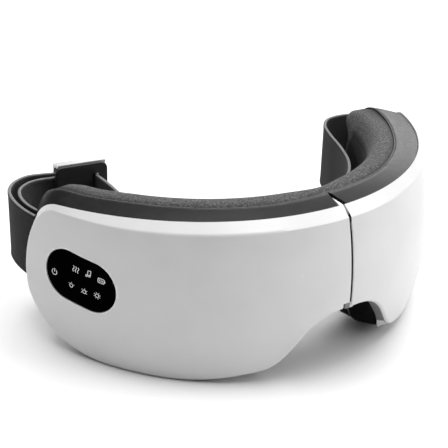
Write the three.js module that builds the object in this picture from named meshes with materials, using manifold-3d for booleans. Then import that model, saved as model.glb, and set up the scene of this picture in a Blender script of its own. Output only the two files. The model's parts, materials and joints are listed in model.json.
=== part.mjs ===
// Folding eye massager mask: two curved halves on a vertical centre hinge, with a head strap.
// Millimetres, +Z up. The mask stands on its lower edge, its front faces -Y, the face side +Y.
import * as THREE from 'three';
import { mergeVertices } from 'three/addons/utils/BufferGeometryUtils.js';
import Module from 'manifold-3d';

const wasm = await Module();
wasm.setup();

// ---- Driving dimensions -------------------------------------------------------------------
const HEIGHT = 73;            // top edge above the floor at the fold plane
const HALF_ARC = 146;         // arc length of one half's front curve, fold plane to temple tip
const TOP_DROP = 7.6;         // how far the top edge would fall over DROP_ARC towards the temple
const DROP_ARC = 150;
const TURN = 1.68;            // the front curve turns by TURN u - EASE u^2 radians, u = s / HALF_ARC
const EASE = 0.29;
const ARCH_HEIGHT = 30.3;     // top of the nose arch
const TEMPLE_MID = 36;        // height of the temple tip
const CROWN = 0.004;          // vertical crown of the front face, mm per mm squared
const CROWN_MID = 36;         // height of the foremost line of the face
const HALF_SEAM = 0.4;        // half of the gap between the two halves
const WALL = 2;               // front shell wall
const FILLET = 3.8;           // width of the bevel along the top and temple edges
const RIM = 9.2;              // depth of the shell rim at the fold, behind the foremost line
const RIM_TAPER = 5;          // how much shallower the rim is at the temple tip
const EDGE_ROUND = 1.4;       // rounding of the lower and arch edges
const FOLD_BEVEL = 0.3;       // bevel of the face beside the fold gap
const SOFT_TAPER = 1.6;       // how much thinner the soft parts are at the temple tip
const RIM_EXTRA = 4;        // extra rim depth along the lower edge, which the mask stands on
const FLANGE_DEPTH = 16;      // closing flange of the left shell beside the fold
const FLANGE_WALL = 1.2;
const PLATE_FRONT = 13.4;     // rear frame plate, front and back
const PLATE_BACK = 15.4;
const CUSHION_FRONT = 17.4;   // side cushion ring behind the frame
const CUSHION_BACK = 20.5;
const PAD_FRONT = 20.9;       // face pad
const PAD_BACK = 30;
const CLEAR = 0.3;            // gap between touching pieces
const HINGE_Y = 20.5;         // fold axis behind the foremost line
const HINGE_LOW = 35;         // lowest and highest ends of the hinge barrel
const HINGE_HIGH = 67;
const KNUCKLES = 4;
const KNUCKLE_R = 3.1;
const PIN_R = 1;
const RUNNING_FIT = 0.12;     // radial clearance of a turning shaft
const LEAF_FRONT = 16;        // hinge leaves, front and back
const LEAF_BACK = 18;
const LEAF_SCREW_S = 10;      // the leaf screws stand in a line this far from the fold
const LEAF_SCREWS = [43, 59]; // and at these heights
const BOSSES = [[24, 60], [118, 57], [75, 11]]; // housing screws: arc and height
const CABLE_WINDOW = { o: [11.3, 13.1], z: [47, 58] }; // ways through at the fold
const HOSE_WINDOW = { o: [8.6, 13.1], z: [39, 44] };
const PANEL = { s: 114.5, z: 39.5, length: 34, height: 22, tilt: 0.14, thick: 2 };
const PORT = { s: 108, o: 10.6, width: 8.9, thick: 3.2, depth: 7.4 }; // standard USB-C inlet
const MOTOR = { s: 52, z: 61.5, o: 9, radius: 3.5, length: 14, shaft: 0.5 };
const STRAP_LOW = 28.5;       // lower edge of the head strap
const STRAP_WIDTH = 30;
const STRAP_THICK = 1.5;
const STRAP_SLOT = [STRAP_LOW - 1, STRAP_LOW + STRAP_WIDTH + 1];
const ANCHOR = { s: 135.4, o: 6.3, r: 1.1 }; // bars the strap is sewn round, at the temples
const SLIDER = { length: 23, height: 41, base: 2.2, turn: -0.2, x: -60.7, y: 110.3 };
const ORIGIN_Y = 61.6;        // depth of the middle of the whole part behind the foremost line
const LEFT = -1;
const RIGHT = 1;

const group = new THREE.Group();
group.position.set(0, -ORIGIN_Y, 0);

const finishes = {
  shellWhite: { color: 0xe9e9ea, roughness: 0.38, metalness: 0 },
  panelBlack: { color: 0x08080a, roughness: 0.12, metalness: 0 },
  frameBlack: { color: 0x1b1b1d, roughness: 0.6, metalness: 0 },
  leather: { color: 0x3a3a3c, roughness: 0.65, metalness: 0 },
  suede: { color: 0x4a4a4b, roughness: 0.95, metalness: 0 },
  webbing: { color: 0x3c3c3e, roughness: 0.9, metalness: 0 },
  steel: { color: 0xb9bcc0, roughness: 0.3, metalness: 1 },
  board: { color: 0x14532d, roughness: 0.5, metalness: 0 },
  silicone: { color: 0xd8d8d4, roughness: 0.5, metalness: 0 },
  foil: { color: 0xb8860b, roughness: 0.45, metalness: 0.3 },
  cell: { color: 0x9aa4b0, roughness: 0.4, metalness: 0.5 },
};

// ---- Geometry helpers ---------------------------------------------------------------------
// One half is drawn unrolled: s along its front curve, z up, o inwards from the foremost line.

const turnAt = (s) => TURN * (s / HALF_ARC) - EASE * (s / HALF_ARC) ** 2;

const PLAN_STEP = 0.5;
const planTable = [new THREE.Vector2(0, 0)];
for (let s = PLAN_STEP; s <= HALF_ARC + 20; s += PLAN_STEP) {
  const angle = turnAt(s - PLAN_STEP / 2);
  const last = planTable[planTable.length - 1];
  planTable.push(new THREE.Vector2(
    last.x + Math.cos(angle) * PLAN_STEP, last.y + Math.sin(angle) * PLAN_STEP));
}

function planPoint(s) {
  if (s <= 0) return new THREE.Vector2(s, 0);
  const index = Math.min(Math.floor(s / PLAN_STEP), planTable.length - 2);
  return planTable[index].clone().lerp(planTable[index + 1], s / PLAN_STEP - index);
}

const crownAt = (z) => CROWN * (z - CROWN_MID) ** 2;

function solidPoint(side, s, z, o) {
  const plan = planPoint(s);
  const angle = s > 0 ? turnAt(s) : 0;
  return new THREE.Vector3(
    side * (plan.x - Math.sin(angle) * o), plan.y + Math.cos(angle) * o, z);
}

function outward(geometry) {
  // index so that the faces point out, whatever the mirroring did
  const at = geometry.attributes.position;
  const index = geometry.index;
  let volume = 0;
  const [a, b, c] = [new THREE.Vector3(), new THREE.Vector3(), new THREE.Vector3()];
  for (let i = 0; i < index.count; i += 3) {
    a.fromBufferAttribute(at, index.getX(i));
    b.fromBufferAttribute(at, index.getX(i + 1));
    c.fromBufferAttribute(at, index.getX(i + 2));
    volume += a.dot(b.cross(c));
  }
  if (volume < 0) {
    for (let i = 0; i < index.count; i += 3) {
      const first = index.getX(i);
      index.setX(i, index.getX(i + 2));
      index.setX(i + 2, first);
    }
  }
  return geometry;
}

function welded(geometry) {
  const bare = geometry.clone();
  bare.deleteAttribute('normal');
  bare.deleteAttribute('uv');
  return outward(mergeVertices(bare, 1e-4));
}

function toSolid(geometry) {
  const closed = welded(geometry);
  return new wasm.Manifold(new wasm.Mesh({
    numProp: 3,
    vertProperties: new Float32Array(closed.attributes.position.array),
    triVerts: new Uint32Array(closed.index.array),
  }));
}

function toGeometry(solid) {
  const mesh = solid.getMesh();
  const geometry = new THREE.BufferGeometry();
  geometry.setAttribute('position', new THREE.BufferAttribute(mesh.vertProperties, mesh.numProp));
  geometry.setIndex(new THREE.BufferAttribute(mesh.triVerts, 1));
  return geometry;
}

function join(first, ...rest) {
  return toGeometry(rest.reduce((sum, piece) => sum.add(toSolid(piece)), toSolid(first)));
}

function cut(first, ...rest) {
  return toGeometry(rest.reduce((sum, piece) => sum.subtract(toSolid(piece)), toSolid(first)));
}

function common(first, second) {
  return toGeometry(toSolid(first).intersect(toSolid(second)));
}

function addPart(name, geometry, finish) {
  const mesh = new THREE.Mesh(geometry, new THREE.MeshStandardMaterial(finishes[finish]));
  mesh.name = name;
  group.add(mesh);
  return mesh;
}

// a block drawn flat in s, o and z, then bent round the front curve
function bent(side, [s0, s1], [o0, o1], [z0, z1], crowned = false) {
  const steps = Math.max(1, Math.ceil((s1 - s0) / 6));
  const rows = crowned ? 4 : 1;
  const box = new THREE.BoxGeometry(s1 - s0, o1 - o0, z1 - z0, steps, 1, rows);
  const at = box.attributes.position;
  for (let i = 0; i < at.count; i += 1) {
    const z = at.getZ(i) + (z0 + z1) / 2;
    const depth = at.getY(i) + (o0 + o1) / 2 + (crowned ? crownAt(z) : 0);
    const point = solidPoint(side, at.getX(i) + (s0 + s1) / 2, z, depth);
    at.setXYZ(i, point.x, point.y, point.z);
  }
  return welded(box);
}

// moves a piece drawn about its own middle (x along the curve, y inwards, z up) to s, z, o
function settle(geometry, side, s, z, o) {
  const point = solidPoint(side, s, z, o);
  return geometry.rotateZ(side * turnAt(s)).translate(point.x, point.y, point.z);
}

const block = (width, depth, height) => new THREE.BoxGeometry(width, depth, height);

function upright(radius, height, sides = 16) {
  return new THREE.CylinderGeometry(radius, radius, height, sides).rotateX(Math.PI / 2);
}

function inwardRod(radius, length, sides = 16) {
  return new THREE.CylinderGeometry(radius, radius, length, sides);
}

function alongRod(radius, length, sides = 16) {
  return inwardRod(radius, length, sides).rotateZ(Math.PI / 2);
}

// ---- Outline of one half ------------------------------------------------------------------
const topAt = (s) => HEIGHT - TOP_DROP * (s / DROP_ARC) ** 2;

function bezier(start, first, second, end, steps) {
  const vectors = [start, first, second, end].map(([s, z]) => new THREE.Vector2(s, z));
  return new THREE.CubicBezierCurve(...vectors).getPoints(steps).slice(1);
}

const TOP_CORNER = 128;       // where the top edge starts to round down to the temple
const FLAT_START = 78;        // the stretch of the lower edge that stands on the floor
const FLAT_END = 104;
const FOLD_STEPS = 3;
const TOP_STEPS = 9;
const FLANGE_FOOT = 2.2;      // arc where the left closing flange runs out into the rim

function halfOutline() {
  const fold = [];
  for (let i = 0; i <= FOLD_STEPS; i += 1) {
    fold.push(new THREE.Vector2(HALF_SEAM, THREE.MathUtils.lerp(
      topAt(HALF_SEAM), ARCH_HEIGHT, i / FOLD_STEPS)));
  }
  const archStart = [FLANGE_FOOT, ARCH_HEIGHT];
  const arch = [new THREE.Vector2(...archStart),
    ...bezier(archStart, [9, 30.6], [14.6, 28.6], [19.8, 22.2], 4)];
  const flare = bezier([19.8, 22.2], [25, 15.8], [28.2, 9.2], [36, 5.6], 5);
  const lower = bezier([36, 5.6], [47, 3.2], [62, 0], [FLAT_START, 0], 4);
  const flat = [new THREE.Vector2((FLAT_START + FLAT_END) / 2, 0), new THREE.Vector2(FLAT_END, 0)];
  const jaw = bezier([FLAT_END, 0], [129, 0], [HALF_ARC, 13.5], [HALF_ARC, TEMPLE_MID], 7);
  const temple = bezier([HALF_ARC, TEMPLE_MID], [HALF_ARC, 52], [141, 66.8],
    [TOP_CORNER, topAt(TOP_CORNER)], 6);
  const top = [];
  for (let i = 1; i < TOP_STEPS; i += 1) {
    const s = THREE.MathUtils.lerp(TOP_CORNER, HALF_SEAM, i / TOP_STEPS);
    top.push(new THREE.Vector2(s, topAt(s)));
  }
  top.push(new THREE.Vector2(FLANGE_FOOT, topAt(FLANGE_FOOT)));
  return [...fold, ...arch, ...flare, ...lower, ...flat, ...jaw, ...temple, ...top];
}

const outline = halfOutline();
const isFold = (i) => i <= FOLD_STEPS;

function inwardNormals() {
  const count = outline.length;
  return outline.map((point, i) => {
    if (isFold(i)) return new THREE.Vector2(0, THREE.MathUtils.lerp(-1, 1, i / FOLD_STEPS));
    const before = outline[i - 1];
    const after = outline[(i + 1) % count];
    const along = after.clone().sub(before).normalize();
    return new THREE.Vector2(-along.y, along.x);
  });
}

const inward = inwardNormals();
const SPINE_START = new THREE.Vector2(24, 50);
const SPINE_END = new THREE.Vector2(114, 38);
const SQUEEZE_TO = 34;        // a ring that starts further from the fold is squeezed up to here

function spinePoint(s) {
  const share = THREE.MathUtils.clamp(
    (s - SPINE_START.x) / (SPINE_END.x - SPINE_START.x), 0, 1);
  return SPINE_START.clone().lerp(SPINE_END, share);
}

function squeezed(s, fold) {
  if (s >= SQUEEZE_TO) return s;
  const span = SQUEEZE_TO - HALF_SEAM;
  return SQUEEZE_TO - (SQUEEZE_TO - s) * (span - fold) / span;
}

// one closed loop of points: inset from the outline, fold from the fold plane, depth inwards
function ring(inset, fold, depth, toward = 0) {
  return outline.map((point, i) => {
    const inwards = typeof inset === 'function' ? inset(i) : inset;
    const spot = point.clone().addScaledVector(inward[i], inwards);
    spot.x = squeezed(spot.x, fold);
    spot.lerp(spinePoint(point.x), toward);
    return { s: spot.x, z: spot.y, o: depth(spot.y, i) };
  });
}

// fills a loop from the fold to the temple tip, zipping its lower and upper sides together
function capFaces(loop, offset, reverse) {
  const tip = outline.reduce((best, point, i) => (point.x > outline[best].x ? i : best), 0);
  const faces = [];
  let lower = 0;
  let upper = loop.length;
  while (lower < tip || upper > tip) {
    const upperNow = upper % loop.length;
    const stepLower = upper === tip || (lower < tip && loop[lower + 1].s <= loop[upper - 1].s);
    const face = stepLower ? [lower, lower + 1, upperNow] : [lower, upper - 1, upperNow];
    if (stepLower) lower += 1;
    else upper -= 1;
    if (new Set(face).size === 3) faces.push(reverse ? face.reverse() : face);
  }
  return faces.flat().map((index) => index + offset);
}

// a closed solid through the loops: capped at both ends, or joined last to first
function loft(side, loops, closed = false) {
  const count = outline.length;
  const points = loops.flat().flatMap(({ s, z, o }) => solidPoint(side, s, z, o).toArray());
  const faces = [];
  const spans = closed ? loops.length : loops.length - 1;
  for (let j = 0; j < spans; j += 1) {
    const here = j * count;
    const next = ((j + 1) % loops.length) * count;
    for (let i = 0; i < count; i += 1) {
      const k = (i + 1) % count;
      faces.push(here + i, here + k, next + k, here + i, next + k, next + i);
    }
  }
  if (!closed) {
    faces.push(...capFaces(loops[0], 0, true));
    faces.push(...capFaces(loops[loops.length - 1], (loops.length - 1) * count, false));
  }
  const geometry = new THREE.BufferGeometry();
  geometry.setAttribute('position', new THREE.Float32BufferAttribute(points, 3));
  geometry.setIndex(faces);
  return welded(geometry);
}

// ---- Housings -----------------------------------------------------------------------------
const lowerShare = (z) => THREE.MathUtils.smoothstep(34 - z, 0, 26);
const rimAt = (z, i) => RIM + RIM_EXTRA * lowerShare(z)
  - RIM_TAPER * (outline[i].x / HALF_ARC) ** 2 * (1 - lowerShare(z));

// 1 where the face edge is a wide bevel (top and temple), 0 where it is a small round
function bevelShare(i) {
  const { x, y } = outline[i];
  if (isFold(i)) return THREE.MathUtils.smoothstep(y, 64, HEIGHT);
  if (x < SPINE_START.x && y < SPINE_START.y) return 0;
  return THREE.MathUtils.smoothstep(y, 24, 46);
}

const edgeInset = (i) => THREE.MathUtils.lerp(EDGE_ROUND, FILLET, bevelShare(i));

// depth of the face edge at one step of its quarter turn, for outline point i
function edgeDepth(z, i, angle) {
  const rounded = crownAt(z) + EDGE_ROUND * (1 - Math.cos(angle));
  const start = crownAt(outline[i].y + inward[i].y * FILLET);
  const end = Math.max(rimAt(z, i) - 0.3, start + 0.5);
  const bevelled = THREE.MathUtils.lerp(start, end, Math.sin(angle));
  return THREE.MathUtils.lerp(rounded, bevelled, bevelShare(i));
}

function foldWindows(side) {
  return [CABLE_WINDOW, HOSE_WINDOW].map((window) => bent(side, [-2, 9], window.o, window.z));
}

function frontShell(side) {
  const flange = side === LEFT;
  const foldWall = flange ? FLANGE_WALL : WALL;
  const rimDepth = (z, i) => (flange && isFold(i) ? FLANGE_DEPTH : rimAt(z, i));
  const face = (extra) => (z) => crownAt(z) + extra;
  const arcLoops = [1, 2, 3].map((step) => {
    const angle = (step / 3) * Math.PI / 2;
    const left = 1 - Math.sin(angle);
    return ring((i) => edgeInset(i) * left, FOLD_BEVEL * left, (z, i) => edgeDepth(z, i, angle));
  });
  const shell = loft(side, [
    ring(edgeInset, FOLD_BEVEL, face(0), 0.75),
    ring(edgeInset, FOLD_BEVEL, face(0), 0.35),
    ring(edgeInset, FOLD_BEVEL, face(0)),
    ...arcLoops,
    ring(0, 0, (z, i) => rimDepth(z, i) + 0.01),
    ring(WALL, foldWall, (z, i) => rimDepth(z, i) + 0.01),
    ring(WALL, foldWall, (z, i) => Math.min(crownAt(z) + FILLET, rimAt(z, i) - 0.4)),
    ring(FILLET, foldWall + 0.3, face(WALL)),
    ring(FILLET, foldWall + 0.3, face(WALL), 0.35),
    ring(FILLET, foldWall + 0.3, face(WALL), 0.75),
  ]);
  const bossFront = WALL - 0.1;
  const bossBack = PLATE_FRONT - 0.5;
  const bosses = BOSSES.map(([s, z]) => {
    const length = bossBack - bossFront - crownAt(z);
    return settle(inwardRod(2.6, length, 12), side, s, z, bossBack - length / 2);
  });
  const holes = BOSSES.map(([s, z]) => settle(inwardRod(1.35, 8, 12), side, s, z, bossBack - 3.9));
  const strapSlot = bent(side, [140, 152], [3.3, 14], STRAP_SLOT);
  return cut(join(shell, ...bosses), ...holes, strapSlot, ...foldWindows(side));
}

function rearFrame(side) {
  const front = (z) => crownAt(z) + 3;
  const wall = 1.8;
  const edge = 3.1;
  const fold = 4;
  const plate = (depth) => () => depth;
  const tray = loft(side, [
    ring(edge + wall, fold + wall, plate(PLATE_FRONT), 0.8),
    ring(edge + wall, fold + wall, plate(PLATE_FRONT), 0.4),
    ring(edge + wall, fold + wall, plate(PLATE_FRONT)),
    ring(edge + wall, fold + wall, front),
    ring(edge, fold, front),
    ring(edge, fold, plate(PLATE_BACK)),
    ring(edge + wall, fold + wall, plate(PLATE_BACK)),
    ring(edge + wall, fold + wall, plate(PLATE_BACK), 0.4),
    ring(edge + wall, fold + wall, plate(PLATE_BACK), 0.8),
  ]);
  const screwHoles = BOSSES.map(([s, z]) => settle(
    inwardRod(1.45, 6, 12), side, s, z, (PLATE_FRONT + PLATE_BACK) / 2));
  const leafHoles = LEAF_SCREWS.map((z) => settle(
    inwardRod(1.25, 6, 12), side, LEAF_SCREW_S, z, (PLATE_FRONT + PLATE_BACK) / 2));
  const strapNotch = bent(side, [129, 152], [-2, PLATE_FRONT], [24, 63]);
  return cut(tray, ...screwHoles, ...leafHoles, strapNotch, ...foldWindows(side));
}

// the soft parts stand a little proud of the upper edge, and thin out towards the temples
const softRise = (i) => THREE.MathUtils.smoothstep(outline[i].y, 57, 67);
const softTaper = (i) => SOFT_TAPER * (outline[i].x / HALF_ARC) ** 2;

function sideCushion(side) {
  const skirt = 2.7;
  const width = 12;
  const frontFold = side === LEFT ? 3 : 0.9;
  const middleFold = side === LEFT ? 1.5 : 0.9;
  const depth = (value) => (z, i) => value - softTaper(i);
  const bulge = (inset, rise) => (i) => inset - rise * softRise(i);
  const front = (z, i) => rimAt(z, i) + CLEAR;
  const body = loft(side, [
    ring(0.7, frontFold, front),
    ring(bulge(0.4, 0.6), middleFold, depth(16.2)),
    ring(bulge(0.5, 1.2), 0.5, depth(18.5)),
    ring(bulge(1, 1.5), 0.5, depth(CUSHION_BACK)),
    ring(width, width, depth(CUSHION_BACK)),
    ring(width, width, () => CUSHION_FRONT),
    ring(skirt, 3.4, () => CUSHION_FRONT),
    ring(skirt, 3.4, front),
  ], true);
  const hingeSpace = block(34, 12, HINGE_HIGH - HINGE_LOW + 3)
    .translate(0, 21.6, (HINGE_HIGH + HINGE_LOW) / 2);
  const strapSlot = bent(side, [137, 152], [3.3, 10.2], STRAP_SLOT);
  return cut(body, hingeSpace, strapSlot, ...foldWindows(side));
}

function facePad(side) {
  const depth = (value) => () => value;
  const tapered = (value) => (z, i) => value - softTaper(i);
  const fold = 6.2;
  const pocket = 22.2;
  return loft(side, [
    ring(13, 14, depth(pocket), 0.7),
    ring(13, 14, depth(pocket)),
    ring(11.8, 13, tapered(PAD_FRONT)),
    ring((i) => 1.6 - softRise(i), fold + 0.4, tapered(PAD_FRONT)),
    ring((i) => 0.9 - softRise(i), fold, tapered(22.6)),
    ring((i) => 1.3 - 0.7 * softRise(i), fold, tapered(26)),
    ring(3.6, fold + 1, tapered(28.8)),
    ring(8, fold + 4, depth(PAD_BACK)),
    ring(8, fold + 4, depth(28.6), 0.35),
    ring(8, fold + 4, depth(27.4), 0.7),
  ]);
}

// ---- Hinge --------------------------------------------------------------------------------
function hingeLeaf(side) {
  const pitch = (HINGE_HIGH - HINGE_LOW + CLEAR) / KNUCKLES;
  const first = side === LEFT ? 0 : 1;
  const pieces = [bent(side, [3.7, 15], [LEAF_FRONT, LEAF_BACK], [HINGE_LOW, HINGE_HIGH])];
  for (let k = first; k < KNUCKLES; k += 2) {
    const low = HINGE_LOW + k * pitch;
    const height = pitch - CLEAR;
    pieces.push(upright(KNUCKLE_R, height, 24).translate(0, HINGE_Y, low + height / 2));
    pieces.push(bent(side, [0.2, 4.2], [LEAF_FRONT + 0.1, LEAF_BACK], [low, low + height]));
  }
  const bore = upright(PIN_R + RUNNING_FIT, 60, 24)
    .translate(0, HINGE_Y, (HINGE_LOW + HINGE_HIGH) / 2);
  const holes = LEAF_SCREWS.map((z) => settle(
    inwardRod(1.25, 8, 12), side, LEAF_SCREW_S, z, (LEAF_FRONT + LEAF_BACK) / 2));
  return cut(join(...pieces), bore, ...holes);
}

function hingePin() {
  const low = HINGE_LOW - 0.8;
  const high = HINGE_HIGH + 0.6;
  return upright(PIN_R, high - low, 16).translate(0, HINGE_Y, (low + high) / 2);
}

function screw(headRadius, headHeight, shankRadius, shankLength) {
  const profile = [
    [0, -shankLength], [shankRadius, -shankLength], [shankRadius, 0],
    [headRadius, 0], [headRadius * 0.8, headHeight], [0, headHeight],
  ].map(([r, y]) => new THREE.Vector2(r, y));
  return welded(new THREE.LatheGeometry(profile, 12));
}

// ---- Control key --------------------------------------------------------------------------
function stadiumPrism(length, height, depth) {
  const straight = (length - height) / 2;
  const shape = new THREE.Shape();
  shape.absarc(straight, 0, height / 2, -Math.PI / 2, Math.PI / 2, false);
  shape.absarc(-straight, 0, height / 2, Math.PI / 2, Math.PI * 1.5, false);
  const prism = new THREE.ExtrudeGeometry(shape, { depth, bevelEnabled: false, curveSegments: 10 });
  return prism.translate(0, 0, -depth / 2).rotateZ(-PANEL.tilt).rotateX(Math.PI / 2);
}

function panelPrism(grow) {
  return settle(stadiumPrism(PANEL.length + grow * 2, PANEL.height + grow * 2, 16),
    LEFT, PANEL.s, PANEL.z, 2);
}

function controlPanel() {
  const slab = bent(LEFT, [PANEL.s - 22, PANEL.s + 22], [0.1, 0.1 + PANEL.thick],
    [PANEL.z - 16, PANEL.z + 16], true);
  return common(slab, panelPrism(0));
}

const onPanel = (geometry, o) => settle(geometry, LEFT, PANEL.s, PANEL.z, o);

// ---- Strap --------------------------------------------------------------------------------
function strapAlong(points, steps) {
  const route = new THREE.CatmullRomCurve3(
    points.map(([x, y]) => new THREE.Vector3(x, y, 0)), false, 'centripetal');
  const rail = route.getSpacedPoints(steps);
  const half = STRAP_THICK / 2;
  const edge = (sign) => rail.map((point, i) => {
    const before = rail[Math.max(i - 1, 0)];
    const after = rail[Math.min(i + 1, rail.length - 1)];
    const along = after.clone().sub(before).normalize();
    return new THREE.Vector2(point.x - sign * along.y * half, point.y + sign * along.x * half);
  });
  const shape = new THREE.Shape([...edge(1), ...edge(-1).reverse()]);
  return new THREE.ExtrudeGeometry(shape, { depth: STRAP_WIDTH, bevelEnabled: false })
    .translate(0, 0, STRAP_LOW);
}

// plan points of each length of strap, from its sewn end
const STRAP_OUTER = [[-93.9, 88], [-94.9, 93], [-95.4, 99], [-95, 106], [-92.8, 114], [-87.6, 120],
  [-80.6, 122.4], [-74, 120.9], [-68, 118.6], [-62, 117.1], [-52, 115]];
const STRAP_INNER = [[-90.2, 88.6], [-91.4, 94], [-92.1, 100], [-91.2, 107], [-88.4, 112.8],
  [-83, 116.4], [-77.5, 116.9], [-73, 115.9], [-68, 114.9], [-61, 113.4]];
const STRAP_EXIT = [[-54.4, 111.2], [-54.2, 105], [-54.3, 97], [-54.8, 90], [-55, 84.5]];
const STRAP_RUN_LEFT = [[-55, 84], [-54, 76], [-50, 66], [-43, 57], [-33, 49], [-18, 43],
  [-1, 41.2]];
const STRAP_RUN_RIGHT = [[1, 41.2], [16, 42.6], [30, 47], [40.6, 54], [48.2, 63.5], [54.3, 76.5],
  [59, 90], [63.4, 99.4], [69, 104.4], [76, 105.2], [84, 103], [90.5, 98.5], [92.6, 93],
  [91.6, 88.4]];

function strapAnchor(side) {
  const low = STRAP_LOW - 3.7;
  const high = STRAP_LOW + STRAP_WIDTH + 2.1;
  const lug = 1.8;
  const bar = settle(upright(ANCHOR.r, high - low, 16), side, ANCHOR.s, (low + high) / 2, ANCHOR.o);
  const lugs = [low + lug / 2, high - lug / 2].map((z) => settle(
    block(5, 2.4, lug), side, ANCHOR.s - 2, z, ANCHOR.o + 1));
  return join(bar, ...lugs);
}

function placeOnSlider(geometry) {
  return geometry.rotateZ(SLIDER.turn).translate(
    SLIDER.x, SLIDER.y, STRAP_LOW + STRAP_WIDTH / 2);
}

function roundedPlate(width, height, depth, radius) {
  const shape = new THREE.Shape();
  const x = width / 2 - radius;
  const y = height / 2 - radius;
  shape.absarc(x, -y, radius, -Math.PI / 2, 0, false);
  shape.absarc(x, y, radius, 0, Math.PI / 2, false);
  shape.absarc(-x, y, radius, Math.PI / 2, Math.PI, false);
  shape.absarc(-x, -y, radius, Math.PI, Math.PI * 1.5, false);
  return new THREE.ExtrudeGeometry(shape, { depth, bevelEnabled: false, curveSegments: 4 })
    .translate(0, 0, -depth / 2).rotateX(Math.PI / 2);
}

function sliderBase() {
  const plate = roundedPlate(SLIDER.length, SLIDER.height, SLIDER.base, 3);
  const slot = block(3.4, 8, STRAP_WIDTH + 1.6).translate(6.4, 0, 0);
  return placeOnSlider(cut(plate, slot));
}

function sliderCover() {
  const half = SLIDER.height / 2;
  const start = SLIDER.base / 2 + CLEAR;
  const wall = 1.5;
  // depth of the arch and height above the strap's middle line, at its foot, shoulder and crown
  const outer = { foot: half, shoulder: [9.8, half - 3.3], crown: 10.6 };
  const inner = { foot: half - wall, shoulder: [9.8 - wall, half - 4.4], crown: 10.6 - wall };
  const shape = new THREE.Shape();
  shape.moveTo(start, -outer.foot);
  shape.lineTo(outer.shoulder[0], -outer.shoulder[1]);
  shape.quadraticCurveTo(outer.crown + 1, 0, outer.shoulder[0], outer.shoulder[1]);
  shape.lineTo(start, outer.foot);
  shape.lineTo(start, inner.foot);
  shape.lineTo(inner.shoulder[0], inner.shoulder[1]);
  shape.quadraticCurveTo(inner.crown + 1, 0, inner.shoulder[0], -inner.shoulder[1]);
  shape.lineTo(start, -inner.foot);
  const arch = new THREE.ExtrudeGeometry(shape, {
    depth: SLIDER.length + 0.8, bevelEnabled: false, curveSegments: 14 });
  // the profile's x is depth and its y is height; the extrusion runs along the strap
  arch.translate(0, 0, -(SLIDER.length + 0.8) / 2);
  arch.applyMatrix4(new THREE.Matrix4().set(
    0, 0, 1, 0,
    1, 0, 0, 0,
    0, 1, 0, 0,
    0, 0, 0, 1));
  return placeOnSlider(arch);
}

// ---- Inner works --------------------------------------------------------------------------
function vibrationMotor(side) {
  const shaftLength = 7;
  const can = alongRod(MOTOR.radius, MOTOR.length, 18);
  const shaft = alongRod(MOTOR.shaft, shaftLength, 10)
    .translate(MOTOR.length / 2 + shaftLength / 2 - 0.5, 0, 0);
  return settle(join(can, shaft), side, MOTOR.s, MOTOR.z, MOTOR.o);
}

function motorWeight(side) {
  const length = 4;
  const disc = alongRod(3, length, 18);
  const upper = block(length + 1, 7, 4).translate(0, 0, 2.9);
  const bore = alongRod(MOTOR.shaft + RUNNING_FIT, length + 2, 12);
  const weight = cut(disc, upper, bore).translate(MOTOR.length / 2 + 1 + length / 2, 0, 0);
  return settle(weight, side, MOTOR.s, MOTOR.z, MOTOR.o);
}

function speaker(side) {
  const basket = inwardRod(7.5, 2.4, 20);
  const magnet = inwardRod(4.4, 1.6, 16).translate(0, -1.9, 0);
  return settle(join(basket, magnet), side, 124, 19, 10.6);
}

function airbag(side) {
  const depth = (value) => () => value;
  return loft(side, [
    ring(13.5, 16, depth(17.4), 0.7),
    ring(13.5, 16, depth(17.4)),
    ring(13, 15.4, depth(18.9)),
    ring(13.5, 16, depth(20.4)),
    ring(13.5, 16, depth(20.4), 0.7),
  ]);
}

const heatingPad = (side) => loft(side, [
  ring(15, 17, () => 20.8, 0.7),
  ring(15, 17, () => 20.8),
  ring(15, 17, () => 21.7),
  ring(15, 17, () => 21.7, 0.7),
]);

function chargingPort() {
  const can = block(PORT.width, PORT.thick, PORT.depth);
  const socket = block(PORT.width - 0.7, PORT.thick - 0.7, PORT.depth).translate(0, 0, -1);
  const tongue = block(PORT.width - 2.2, 0.7, PORT.depth - 1.4);
  return join(cut(can, socket), tongue);
}

function flexCable() {
  const halves = [LEFT, RIGHT].map((side) => bent(side, [0, 20], [12, 12.5], [48, 57]));
  return join(...halves);
}

function hoseAlong(points, radius) {
  const path = new THREE.CatmullRomCurve3(points.map((point) => new THREE.Vector3(...point)));
  const section = new THREE.Shape().absarc(0, 0, radius, 0, Math.PI * 2, false);
  return new THREE.ExtrudeGeometry(section, { steps: 10, extrudePath: path, curveSegments: 4 });
}

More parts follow.
